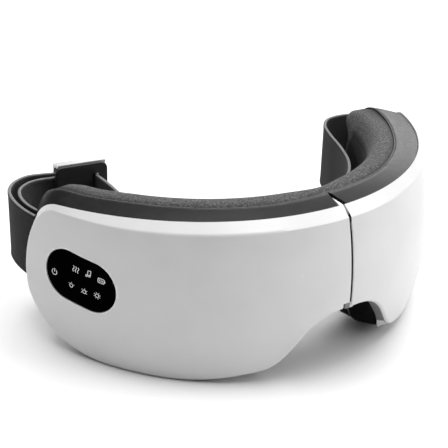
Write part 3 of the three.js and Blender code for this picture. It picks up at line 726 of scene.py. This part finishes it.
def front_shell(side, name):
    """A white half shell: crowned face, rounded edge, rim, and the wall behind it."""
    fold_wall = 1.2 if side == LEFT else WALL
    rim_depth = flange_depth(side)
    bevel = bevel_share()
    bevel_width = FILLET - BEVEL_EASE * ease(HALF[:, 0], 90, 140)
    start = crown_at(HALF[:, 1] + HALF_IN[:, 1] * bevel_width)
    end = np.maximum(rim_at(*HALF.T) - RIM_LIP, start + 0.5)
    edge_inset = EDGE_ROUND + (bevel_width - EDGE_ROUND) * bevel
    face = [ring(edge_inset, FOLD_BEVEL, lambda s, z: crown_at(z), t)
            for t in np.linspace(0.97, 0, FACE_LOOPS)]
    edge = []
    for angle in np.linspace(0, math.pi / 2, EDGE_LOOPS + 1)[1:]:
        left = 1 - math.sin(angle)
        back = EDGE_ROUND * (1 - math.cos(angle))
        # a flat bevel, or a round, or part of each
        flat = start + (end - start) * math.sin(angle)
        edge.append(ring(edge_inset * left, FOLD_BEVEL * left,
                         lambda s, z, b=back, f=flat: (crown_at(z) + b) * (1 - bevel) + f * bevel))
    flare = arch_flare(*HALF.T)
    rim = [
        ring(-flare, 0, lambda s, z: rim_depth(s, z) - RIM_LIP),
        ring(RIM_LIP * 0.3 - flare, 0.04, lambda s, z: rim_depth(s, z) - RIM_LIP * 0.3),
        ring(RIM_LIP - flare, 0.12, rim_depth),
        ring(WALL - flare, min(fold_wall, 0.7), rim_depth),
        ring(WALL, fold_wall, lambda s, z: np.minimum(crown_at(z) + FILLET, rim_at(s, z) - 0.4)),
    ]
    inside = [ring(FILLET, fold_wall + 0.3, lambda s, z: crown_at(z) + WALL, t)
              for t in (0, 0.3, 0.6, 0.9)]
    piece = half_loft(name, side, face + edge + rim + inside, FINISH["shell_white"])
    paint_fold_gap_shade(piece)
    shade_arch(piece)
    cut(piece, side, SLOT_SIDES, SLOT_DEPTHS, (STRAP_LOW - 1, STRAP_LOW + STRAP_WIDTH + 1))
    return piece


def stadium(length, height, count=96):
    """Points round a stadium, and the points of its centre line they look to."""
    straight = (length - height) / 2
    angle = np.linspace(0, 2 * math.pi, count, endpoint=False)
    end = np.where(np.cos(angle) >= 0, straight, -straight)
    core = np.stack([end, np.zeros(count)], 1)
    edge = core + np.stack([np.cos(angle), np.sin(angle)], 1) * height / 2
    both = np.column_stack([edge, core])
    rows = []
    for i in range(count):
        j = (i + 1) % count
        # the straight sides are filled in between the two round ends
        steps = np.linspace(0, 1, 14)[:-1] if end[i] != end[j] else [0]
        rows += [both[i] + (both[j] - both[i]) * t for t in steps]
    return np.hsplit(np.array(rows), 2)


def on_panel(local, depth):
    """Row-frame points for panel coordinates: x towards the temple, y up, tilted."""
    s, z = turned(*np.asarray(local, float).T, PANEL_TILT)
    return place(LEFT, PANEL_S + s, PANEL_Z + z, crown_at(PANEL_Z + z) + depth)


def panel_plug(name, grow, rings, finish):
    """A stadium-shaped plug: rings are (shrink, share to the centre line, depth)."""
    edge, core = stadium(PANEL_LENGTH + 2 * grow, PANEL_HEIGHT + 2 * grow)
    spread = edge - core
    size = np.linalg.norm(spread, axis=1)[:, None]
    loops = [on_panel(core + spread / size * (size - shrink) * (1 - share), depth)
             for shrink, share, depth in rings]
    # both ends have been drawn in to the centre line, and their loops meet on it
    return new_piece(name, np.concatenate(loops), skin(len(loops), len(edge)), finish)


def panel():
    """The glossy black key window, with a softly rounded edge."""
    front, back = 0.1, 0.1 + PANEL_THICK
    face = [(0.5, share, front) for share in (1, 0.8, 0.6, 0.4, 0.25, 0.12, 0)]
    edge = [(0.3, 0, front + 0.03), (0.12, 0, front + 0.11), (0, 0, front + 0.28), (0, 0, back)]
    rear = [(0.5, share, back) for share in (0.3, 0.6, 1)]
    piece = panel_plug("panel_window", 0, face + edge + rear, FINISH["panel_black"])
    crease(piece, 40)
    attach(piece, "control_key")
    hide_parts("control_panel")


def paint_bevel_highlight(piece, side):
    """Painted highlight: the bevel round the face is drawn a brighter white, most so towards the
    temple.
    """
    points = points_of(piece)
    normals = np.array([vertex.normal for vertex in piece.data.vertices])
    along = np.interp(np.abs(points[:, 0]), PLAN_X, PLAN_S)
    theta = turn_at(along)
    facing = normals[:, 0] * side * np.sin(theta) - normals[:, 1] * np.cos(theta)
    share = (1 - ease(facing, 0.75, 0.95)) * ease(facing, -0.1, 0.2)
    height = ease(points[:, 2], 15, 45) * (0.35 + 0.65 * ease(along, 30, 120))
    paint(piece, "bevel", share * height)


def cut(piece, side, s_range, o_range, z_range):
    boolean(piece, bent_block(side, s_range, o_range, z_range), "DIFFERENCE")


def finish_shell(piece, side, body, node):
    crease(piece)
    paint_bevel_highlight(piece, side)
    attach(piece, body)
    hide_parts(node)


def left_shell():
    """The left half, with a window for the key and a notch for the hinge's lobe."""
    piece = front_shell(LEFT, "left_shell")
    rings = [(0, share, -4) for share in (1, 0.5, 0)] + [(0, share, 8) for share in (0, 0.5, 1)]
    boolean(piece, panel_plug("tool", 0.3, rings, FINISH["shell_white"]), "DIFFERENCE")
    cut(piece, LEFT, (-0.6, 3.7), (-2, 18), (28, 33.2))
    finish_shell(piece, LEFT, "left_half", "left_front_shell")


def right_shell():
    """The right half, with a lobe that reaches into the notch and a mouth for the port."""
    def on_lobe(corners):
        return corners[:, 0].min() < -0.1 and corners[:, 0].max() < 2

    piece = front_shell(RIGHT, "right_shell")
    lobe = bent_block(RIGHT, (-2.4, 1.6), (0.5, 7.4), (ARCH_HEIGHT + 0.02, 32.8))
    boolean(piece, lobe, "UNION")
    # painted shade: the lobe's faces are drawn grey
    repaint(piece, SHELL_SHADE, on_lobe)
    cut(piece, RIGHT, (PORT_S - PORT_HALF_WIDTH, PORT_S + PORT_HALF_WIDTH),
        (PORT_O - PORT_HALF_DEPTH, PORT_O + PORT_HALF_DEPTH), (-3, 9))
    finish_shell(piece, RIGHT, "right_half", "right_front_shell")


# ---- Lining
PAD_SEAM, PAD_FACE = 20.9, 30.0
BAND_BACK, BAND_GAP = 17.4, 0.25
SOFT_TAPER = 2.6
FLARE, FLARE_S, FLARE_WIDTH = 3.0, 34.0, 6.0
NOSE_BULGE, NOSE_S, NOSE_WIDTH = 4.5, 27.0, 7.0
TEMPLE_BULGE, TEMPLE_S, TEMPLE_WIDTH = 6.5, 147.0, 8.0
EAR = 7.0
BRIDGE_DIP, BRIDGE_WIDTH = 1.6, 13.0


def soft_taper(s):
    """How much the soft parts thin out towards the temple."""
    return SOFT_TAPER * (np.asarray(s, float) / HALF_ARC) ** 2


def soft_rise(z):
    """The share by which the soft parts stand proud of the shell's top edge."""
    return ease(z, 57, 67)


def arch_flare(s, z):
    """How far the rim spreads out, behind the lower corner of the nose arch, in mm."""
    return FLARE * hill(s, FLARE_S, FLARE_WIDTH) * (1 - ease(z, 8, 16))


def soft_bulge(s, z):
    """How far the soft parts swell out at the nose arch and at the temple corners, in mm."""
    nose = hill(s, NOSE_S, NOSE_WIDTH) * (1 - ease(z, 18, 27)) * ease(z, 2, 13)
    temple = hill(s, TEMPLE_S, TEMPLE_WIDTH) * ease(z, 50, 60)
    return NOSE_BULGE * nose + TEMPLE_BULGE * temple


def eared(loop, amount):
    """Spread the top outer corner of a loop towards the temple, above the strap."""
    s, z, o = loop.T
    shift = EAR * amount * ease(np.abs(s), 122, 142) * ease(z, 53, 61)
    return np.column_stack([s + np.sign(s) * shift, z, o])


def seam_depth(s):
    """Depth of the line where the leather band meets the cloth lining."""
    s = np.abs(np.asarray(s, float))
    return 19.4 - 1.5 * ease(s, 0, 45) - 2.6 * ease(s, 92, HALF_ARC)


def paint_arch_shade(piece):
    """Painted shade: the soft parts are drawn plain black where they turn into the nose arch."""
    def in_arch(corners):
        return np.abs(corners[:, 0]).max() < 37 and corners[:, 2].max() < 29.5
    repaint(piece, ARCH_SHADE, in_arch)


def bend_at_fold(piece):
    """Bake a piece's placement into its mesh."""
    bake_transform(piece)


def side_band(side, name, body, node):
    """The smooth leather band between the shell's rim and the face lining."""
    front_fold = 2.05 if side == LEFT else 2.3
    back_fold = 0.1

    def between(share):
        """From the rim to the seam with the lining, share 0 to 1."""
        def depth(s, z):
            front = rim_at(s, z) + BAND_GAP
            return front + (seam_depth(s) - 0.2 - front) * share
        return depth

    s, z = HALF.T
    rise, flap, flare = soft_rise(z), soft_bulge(s, z), arch_flare(s, z)
    outer = []
    for share in np.linspace(0, 0.9, 8):
        inset = 0.75 - 0.45 * math.sin(share * math.pi / 2) - 1.3 * share * rise
        fold = front_fold + (back_fold - front_fold) * share
        loop = ring(inset - share ** 0.6 * flap - flare, fold, between(share))
        outer.append(eared(loop, share ** 0.7))
    proud = 1.3 * rise + flap + flare
    outer += [eared(ring(0.5 - proud, back_fold, between(0.97)), 1),
              eared(ring(0.8 - proud, back_fold, between(1)), 1),
              eared(ring(2.3, 2, between(1)), 1)]
    seat = PAD_SEAM - SOFT_TAPER - 0.3
    inner = [ring(2.4, 2.4, seat), ring(12, 12, seat), ring(12, 12, BAND_BACK),
             ring(2.7, 3.4, BAND_BACK), ring(2.7, 3.4, lambda s, z: rim_at(s, z) + BAND_GAP)]
    piece = half_loft(name, side, outer + inner, FINISH["soft_leather"], closed=True)
    paint_arch_shade(piece)
    crease(piece, 50)
    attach(piece, body)
    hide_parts(node)


def face_depth(base, hollow):
    """Depth of the face side: full at the crest, hollowed at the eyes and the nose bridge."""
    def depth(s, z):
        eye = hill(s, 52, 30) * hill(z, 38, 17)
        return base - hollow * eye - BRIDGE_DIP * hill(s, 0, BRIDGE_WIDTH)
    return depth


def seat_depth(s, z):
    """Depth of the lining's hidden front, which steps back over the hinge barrel."""
    over_hinge = (1 - ease(np.abs(s), 4.5, 8)) * ease(z, 30, 33)
    return PAD_SEAM - soft_taper(s) + 3.6 * over_hinge * (1 - ease(z, 68.5, 70.5))


def paint_hollow_shade(piece):
    """Painted shade: the cloth is drawn darkest deep in the hollow face side and at the temple end,
    and full tone along its edge.
    """
    edge = place_both(*FULL.T, 26.0) / MM
    shades = []
    for point in points_of(piece):
        away = np.linalg.norm(edge - point, axis=1)
        along, height = FULL[np.argmin(away)]
        end_wall_shade = ease(abs(along), 136, 142) * (1 - ease(height, 54, 62))
        shades.append(max(ease(away.min(), 5, 10), end_wall_shade))
    paint(piece, "hollow", shades)


def face_lining():
    """One brush-finished cloth pad over both halves, across the fold."""
    def from_seam(extra):
        return lambda s, z: seam_depth(s) + extra

    def nose(value):
        return lambda s, z: value - 0.6 * soft_taper(s) - BRIDGE_DIP * hill(s, 0, BRIDGE_WIDTH)

    s, z = FULL.T
    rise = soft_rise(z)
    crest = rise * (1 - 0.4 * ease(np.abs(s), 100, 135))
    flap = soft_bulge(s, z) + 0.7 * arch_flare(s, z)
    # inset, shares of the rise, the crest, the flap and the ear, and the depth
    rounds = [
        (1.7, 1.1, 0, 1, 1, from_seam(0)),
        (0.9, 1.1, 0, 1, 1, from_seam(0.25)),
        (0.62, 0, 1.4, 1, 1, from_seam(1.2)),
        (0.6, 0, 1.9, 1, 1, from_seam(2.6)),
        (0.9, 0, 2.3, 1, 1, nose(24.6)),
        (1.4, 0, 2.3, 0.9, 0.9, nose(26.2)),
        (2.2, 0, 1.9, 0.6, 0.75, nose(27.6)),
        (3.9, 0, 0, 0.3, 0.6, nose(28.5)),
        (5.6, 0, 0, 0, 0.4, nose(29.35)),
        (7.5, 0, 0, 0, 0.25, nose(29.85)),
        (9.5, 0, 0, 0, 0.1, nose(PAD_FACE)),
    ]
    loops = [full_ring(12, seat_depth, toward) for toward in (0.97, 0.5, 0)]
    loops += [full_ring(inset, seat_depth) for inset in (5, 2.6)]
    for inset, up, high, out, ear, depth in rounds:
        loops.append(eared(full_ring(inset - up * rise - high * crest - out * flap, depth), ear))
    for toward in np.linspace(0.04, 0.97, 26):
        fall = 3.4 * ease(toward, 0, 0.8)
        hollow = 3.4 * ease(toward, 0, 0.5)
        loops.append(full_ring(10, face_depth(PAD_FACE - fall, hollow), toward))
    piece = new_piece("face_lining", place_both(*np.concatenate(loops).T), loft_faces(loops),
                      FINISH["suede_cloth"])
    paint_hollow_shade(piece)
    paint_arch_shade(piece)
    bend_at_fold(piece)
    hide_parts("left_face_pad", "right_face_pad")


def tube(name, centres, radius, finish, sides=8, closed=True):
    """A round tube along a line of points, given in metres."""
    centres = np.asarray(centres, float)
    along = np.roll(centres, -1, 0) - np.roll(centres, 1, 0)
    if not closed:
        along[0], along[-1] = centres[1] - centres[0], centres[-1] - centres[-2]
    along = unit(along)
    # carry one normal along the line, so that the section doesn't twist
    normal = np.cross(along[0], (0, 0, 1.0))
    if np.linalg.norm(normal) < 0.1:
        normal = np.cross(along[0], (0, 1.0, 0))
    points = []
    angles = np.linspace(0, 2 * math.pi, sides, endpoint=False)[:, None]
    for centre, direction in zip(centres, along):
        normal = normal - direction * (normal @ direction)
        normal /= np.linalg.norm(normal)
        other = np.cross(direction, normal)
        points += list(centre + (normal * np.cos(angles) + other * np.sin(angles)) * radius)
    return new_piece(name, points, skin(len(centres), sides, closed, not closed), finish)


def piping():
    """The thin welt where the leather bands meet the face lining."""
    proud = 1.25 * soft_rise(FULL[:, 1]) + soft_bulge(*FULL.T)
    welt = eared(full_ring(0.6 - proud, lambda s, z: seam_depth(s) - 0.05), 1)
    piece = tube("lining_piping", place_both(*welt.T), 0.3 * MM, PIPING)
    bend_at_fold(piece)


def fold_hose():
    """The air hose, which crosses the fold behind the shells."""
    reach = 22.0
    middle = [in_frame(x, 11 + 2 * (x / reach) ** 2, 41.5) for x in np.linspace(-reach, reach, 45)]
    piece = tube("fold_hose", middle, 1.5 * MM, FINISH["silicone_rubber"], 14, closed=False)
    crease(piece, 50)
    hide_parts("air_hose")
    bend_at_fold(piece)


def fold_cable():
    """The flat cable with its ridged conductors, which crosses the fold above the hose."""
    heights = np.linspace(48, 57, 13)
    ridge = np.where(np.arange(len(heights)) % 2 == 1, 0.06, 0.0)
    front = np.stack([heights, 12 + ridge], 1)
    back = np.stack([heights, 12.5 - ridge], 1)[::-1]
    section = np.concatenate([front, back])
    stations = np.linspace(-20, 20, 41)
    points = np.concatenate([place_both(s, *section.T) for s in stations])
    piece = new_piece("fold_cable", points, skin(len(stations), len(section), capped=True),
                      FINISH["amber_film"])
    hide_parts("flex_cable")
    bend_at_fold(piece)


# ---- Strap
OUTER = [(-93.9, 88), (-94.9, 93), (-95.4, 99), (-95, 106), (-92.8, 114), (-87.6, 120),
         (-80.6, 122.4), (-74, 120.9), (-68, 118.6), (-62, 117.1), (-52, 115)]
INNER = [(-90.2, 88.6), (-91.4, 94), (-92.1, 100), (-91.2, 107), (-88.4, 112.8), (-83, 116.4),
         (-77.5, 116.9), (-73, 115.9), (-68, 114.9), (-61, 113.4)]
TAIL = [(-54.4, 111.2), (-54.2, 105), (-54.3, 97), (-54.8, 90), (-55, 84)]
RUN = [(-55, 84), (-54, 76), (-50, 66), (-43, 57), (-33, 49), (-18, 43), (0, 41.2), (16, 42.6),
       (30, 47), (40.6, 54), (48.2, 63.5), (54.3, 76.5), (59, 90), (63.4, 99.4), (69, 104.4),
       (76, 105.2), (84, 103), (90.5, 98.5), (92.6, 93), (91.6, 88.4)]


WEB_HALF = 0.62


def smooth_route(points, step):
    """Centripetal Catmull-Rom through the points, resampled at equal steps."""
    points = np.asarray(points, float)
    before, after = 2 * points[0] - points[1], 2 * points[-1] - points[-2]
    points = np.concatenate([[before], points, [after]])
    fine = []
    for p in zip(points, points[1:], points[2:], points[3:]):
        gaps = [math.sqrt(np.linalg.norm(b - a)) for a, b in zip(p, p[1:])]
        t = np.cumsum([0] + gaps)

        def mix(i, j, a, b, u):
            return (t[j] - u) / (t[j] - t[i]) * a + (u - t[i]) / (t[j] - t[i]) * b
        for u in np.linspace(t[1], t[2], 24, endpoint=False):
            a1, a2, a3 = (mix(i, i + 1, p[i], p[i + 1], u) for i in range(3))
            fine.append(mix(1, 2, mix(0, 2, a1, a2, u), mix(1, 3, a2, a3, u), u))
    fine.append(points[-2])
    return np.concatenate([spaced(fine, step), [fine[-1]]])


def strap_section():
    """(across, thickness) points round the webbing, with fuller woven edges."""
    half_w, half_t = STRAP_WIDTH / 2, STRAP_THICK / 2
    near = [(half_w - 0.28, -half_t * 0.96), (half_w - 1.4, -half_t), (half_w - 2.0, -WEB_HALF)]
    side = [(-w, t) for w, t in near]
    side += [(w, -WEB_HALF) for w in np.linspace(-half_w + 4, half_w - 4, 9)]
    side += near[::-1]
    edge = [(half_w - 0.06, -half_t * 0.6), (half_w, 0), (half_w - 0.06, half_t * 0.6)]
    return np.array(side + edge + [(-w, -t) for w, t in side + edge])


def strap_piece(name, points):
    """A length of webbing on edge along its route in plan, and its length in metres."""
    rail = smooth_route(points, 1.1)
    along = unit(np.gradient(rail, axis=0))
    across = left_of(along)
    section = strap_section()
    count = len(section)
    verts = [in_frame(*(spot + sideways * thick), STRAP_MID + width)
             for spot, sideways in zip(rail, across) for width, thick in section]
    piece = new_piece(name, verts, skin(len(rail), count, capped=True), FINISH["elastic_webbing"])
    mesh = piece.data
    uv = mesh.uv_layers.new(name="weave")
    step = float(np.linalg.norm(rail[1] - rail[0]))
    for loop in mesh.loops:
        j, i = divmod(loop.vertex_index, count)
        uv.data[loop.index].uv = (j * step, section[i][0])
    # painted light: marks the inner side of each bend, which the webbing finish draws lighter
    turning = np.sum(along[:-1, 0] * along[1:, 1] - along[:-1, 1] * along[1:, 0])
    paint(piece, "inner_side", np.tile(section[:, 1] * turning > 0, len(rail)))
    crease(piece, 60)
    length = float(np.sum(np.linalg.norm(np.diff(rail, axis=0), axis=1))) * MM
    return piece, length


LOOP_STOPS = ["left_strap_anchor", "slider_base"]
RUN_NODES = ["strap_run_left", "strap_run_right"]
# name, route, far body, where the bend starts and ends, nodes replaced, what it rests on
STRAPS = [
    ("strap_outer", OUTER, "strap_slider", (-94, 94), (-72, 119), ["strap_outer_loop"], LOOP_STOPS),
    ("strap_inner", INNER, "strap_slider", (-92, 95), (-73, 116), ["strap_inner_loop"], LOOP_STOPS),
    ("strap_tail", TAIL, "strap_slider", (-55, 86), (-54.4, 108), ["strap_exit"], ["slider_base"]),
    ("strap_run", RUN, "right_half", (-40, 41), (40, 41), RUN_NODES, ["right_strap_anchor"]),
]


def straps():
    """The webbing round the left anchor and the buckle, and its run round to the right anchor."""
    for name, route, far, start, end, nodes, stops in STRAPS:
        piece, length = strap_piece(name, route)
        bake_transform(piece)
        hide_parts(*nodes)


# ---- Buckle
def rounded_rectangle(width, height, radius, steps=8):
    points = []
    for cx, cy, first in ((1, -1, -90), (1, 1, 0), (-1, 1, 90), (-1, -1, 180)):
        for k in range(steps + 1):
            angle = math.radians(first + 90 * k / steps)
            points.append((cx * (width / 2 - radius) + radius * math.cos(angle),
                           cy * (height / 2 - radius) + radius * math.sin(angle)))
    return np.array(points)


def on_slider(points):
    """Row-frame points for buckle coordinates: x along the strap, y backwards, z up."""
    x, y, z = np.asarray(points, float).T
    x, y = turned(x, y, SLIDER_TURN)
    return np.stack([x + SLIDER_X, y + SLIDER_Y - ORIGIN_Y, z + STRAP_MID], 1) * MM


def stacked(name, loops, finish):
    return new_piece(name, on_slider(np.concatenate(loops)),
                     skin(len(loops), len(loops[0]), capped=True), finish)


def rounded_ends(start, end, edge):
    """(inset, place) pairs along a stack whose two ends are rounded off."""
    return [(edge, start), (edge * 0.3, start + edge * 0.3), (0, start + edge),
            (0, end - edge), (edge * 0.3, end - edge * 0.3), (edge, end)]


def upright(outline, depth):
    """Buckle coordinates for an outline of (x, z) points at one depth."""
    return np.column_stack([outline[:, 0], np.full(len(outline), depth), outline[:, 1]])


def buckle_plate():
    """The flat base plate, with a slot where the strap's tail comes out."""
    half = SLIDER_BASE / 2
    loops = []
    for inset, depth in rounded_ends(-half, half, 0.45):
        outline = rounded_rectangle(SLIDER_LENGTH - 2 * inset, SLIDER_HEIGHT - 2 * inset, 3)
        loops.append(upright(outline, depth))
    piece = stacked("buckle_plate", loops, FINISH["dark_plastic"])
    slot = rounded_rectangle(3.4, STRAP_WIDTH + 1.6, 1.2) + [6.4, 0]
    tool = stacked("tool", [upright(slot, -4), upright(slot, 4)], FINISH["dark_plastic"])
    boolean(piece, tool, "DIFFERENCE")
    crease(piece)
    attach(piece, "strap_slider")
    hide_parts("slider_base")


def cover_side(shoulder_depth, shoulder_height, crown, foot_height):
    """(depth, height) points up one face of the arched cover, foot to foot."""
    foot = SLIDER_BASE / 2 + 0.3
    t = np.linspace(0, 1, 25)[:, None]
    a = np.array([shoulder_depth, -shoulder_height])
    b = np.array([crown + 1, 0])
    c = np.array([shoulder_depth, shoulder_height])
    curve = a * (1 - t) ** 2 + 2 * b * t * (1 - t) + c * t * t
    low, high = np.array([foot, -foot_height]), np.array([foot, foot_height])
    lead = [low + (a - low) * k for k in np.linspace(0, 0.9, 8)]
    tail = [c + (high - c) * k for k in np.linspace(0.1, 1, 8)]
    return np.array([*lead, *curve, *tail])


def cover_profile(shrink):
    """(depth, height) round the arched cover's section, outside then inside."""
    half = SLIDER_HEIGHT / 2
    outer = cover_side(9.8 - shrink, half - 2.4 - shrink, 10.6 - shrink, half - shrink)
    inner = cover_side(8.3 + shrink, half - 3.7 + shrink * 0.4, 9.1 + shrink, half - 1.5 + shrink)
    return np.concatenate([outer, inner[::-1]])


def buckle_cover():
    """The white arched cover, near as long as the plate and open at both ends."""
    end = SLIDER_LENGTH / 2 - 0.2
    start = 1.6 - end
    loops = []
    for shrink, x in rounded_ends(start, end, 0.4):
        profile = cover_profile(shrink)
        loops.append(np.column_stack([np.full(len(profile), x), profile]))
    piece = stacked("buckle_cover", loops, FINISH["shell_white"])
    crease(piece)
    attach(piece, "strap_slider")
    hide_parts("slider_cover")


# ---- Icons
def arc(cx, cy, radius, start, end, count=20):
    angle = np.radians(np.linspace(start, end, count))
    return np.stack([cx + radius * np.cos(angle), cy + radius * np.sin(angle)], 1)


def line(*points):
    return np.array(points, float)


def power_icon():
    return [arc(0, -0.2, 1.5, 125, 415, 26), line((0, -0.1), (0, 1.9))]


def heat_icon():
    t = np.linspace(-1.5, 1.5, 14)
    return [np.stack([x + 0.32 * np.sin(t * 2.6), t], 1) for x in (-1.35, 0, 1.35)]


def note_icon():
    return [arc(-0.75, -1.3, 0.45, 0, 360, 14), line((-0.3, -1.3), (-0.3, 1.6), (1.3, 1.9)),
            line((1.3, 1.9), (1.3, -0.9)), arc(0.85, -0.9, 0.45, 0, 360, 14)]


def battery_icon():
    box = rounded_rectangle(3.4, 2.2, 0.4, 3)
    box = np.concatenate([box, box[:1]])
    return [box, line((2.05, -0.45), (2.05, 0.45)), line((-0.9, -0.5), (-0.9, 0.5)),
            line((0, -0.5), (0, 0.5)), line((0.9, -0.5), (0.9, 0.5))]


def sun_icon(radius, rays, spread=360):
    strokes = [arc(0, 0, radius, 0, 360, 18)]
    for k in range(rays):
        angle = math.radians(90 - spread / 2 + spread * (k + 0.5) / rays)
        direction = np.array([math.cos(angle), math.sin(angle)])
        strokes.append(line(direction * (radius + 0.5), direction * (radius + 0.9)))
    return strokes


ICONS = [
    ((12.5, 0.5), power_icon()), ((1.5, 5.0), heat_icon()), ((-4.5, 4.9), note_icon()),
    ((-10.5, 3.4), battery_icon()), ((3.8, -2.9), sun_icon(0.95, 3, 180)),
    ((-2.6, -3.7), sun_icon(0.95, 5, 300)), ((-8.7, -3.7), sun_icon(0.95, 8)),
]


ICON_SIZE = 0.84
# (half width, lift) at the corners of a stroke's section
STROKE = [(-0.13, 0.06), (0.13, 0.06), (0.13, 0.09), (-0.13, 0.09)]


def icons():
    """Thin printed strokes just proud of the key window."""
    verts, faces = [], []
    for (ds, dz), strokes in ICONS:
        centre = np.array(turned(ds, dz, -PANEL_TILT))
        for stroke in strokes:
            # seen from the front, right on the key is towards the fold
            stroke = stroke * [-ICON_SIZE, ICON_SIZE]
            normal = left_of(unit(np.gradient(stroke, axis=0)))
            rails = [on_panel(centre + stroke + normal * half, lift) for half, lift in STROKE]
            first = len(verts)
            verts += list(np.stack(rails, 1).reshape(-1, 3))
            box = skin(len(stroke), len(STROKE), capped=True)
            faces += [[first + i for i in face] for face in box]
    piece = new_piece("key_icons", verts, faces, ICON)
    for face in piece.data.polygons:
        face.use_smooth = False
    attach(piece, "control_key")


# ---- Build
add_camera()
add_floor()
add_lighting()
left_shell()
right_shell()
panel()
side_band(LEFT, "left_band", "left_half", "left_cushion")
side_band(RIGHT, "right_band", "right_half", "right_cushion")
face_lining()
piping()
fold_hose()
fold_cable()
straps()
buckle_plate()
buckle_cover()
icons()
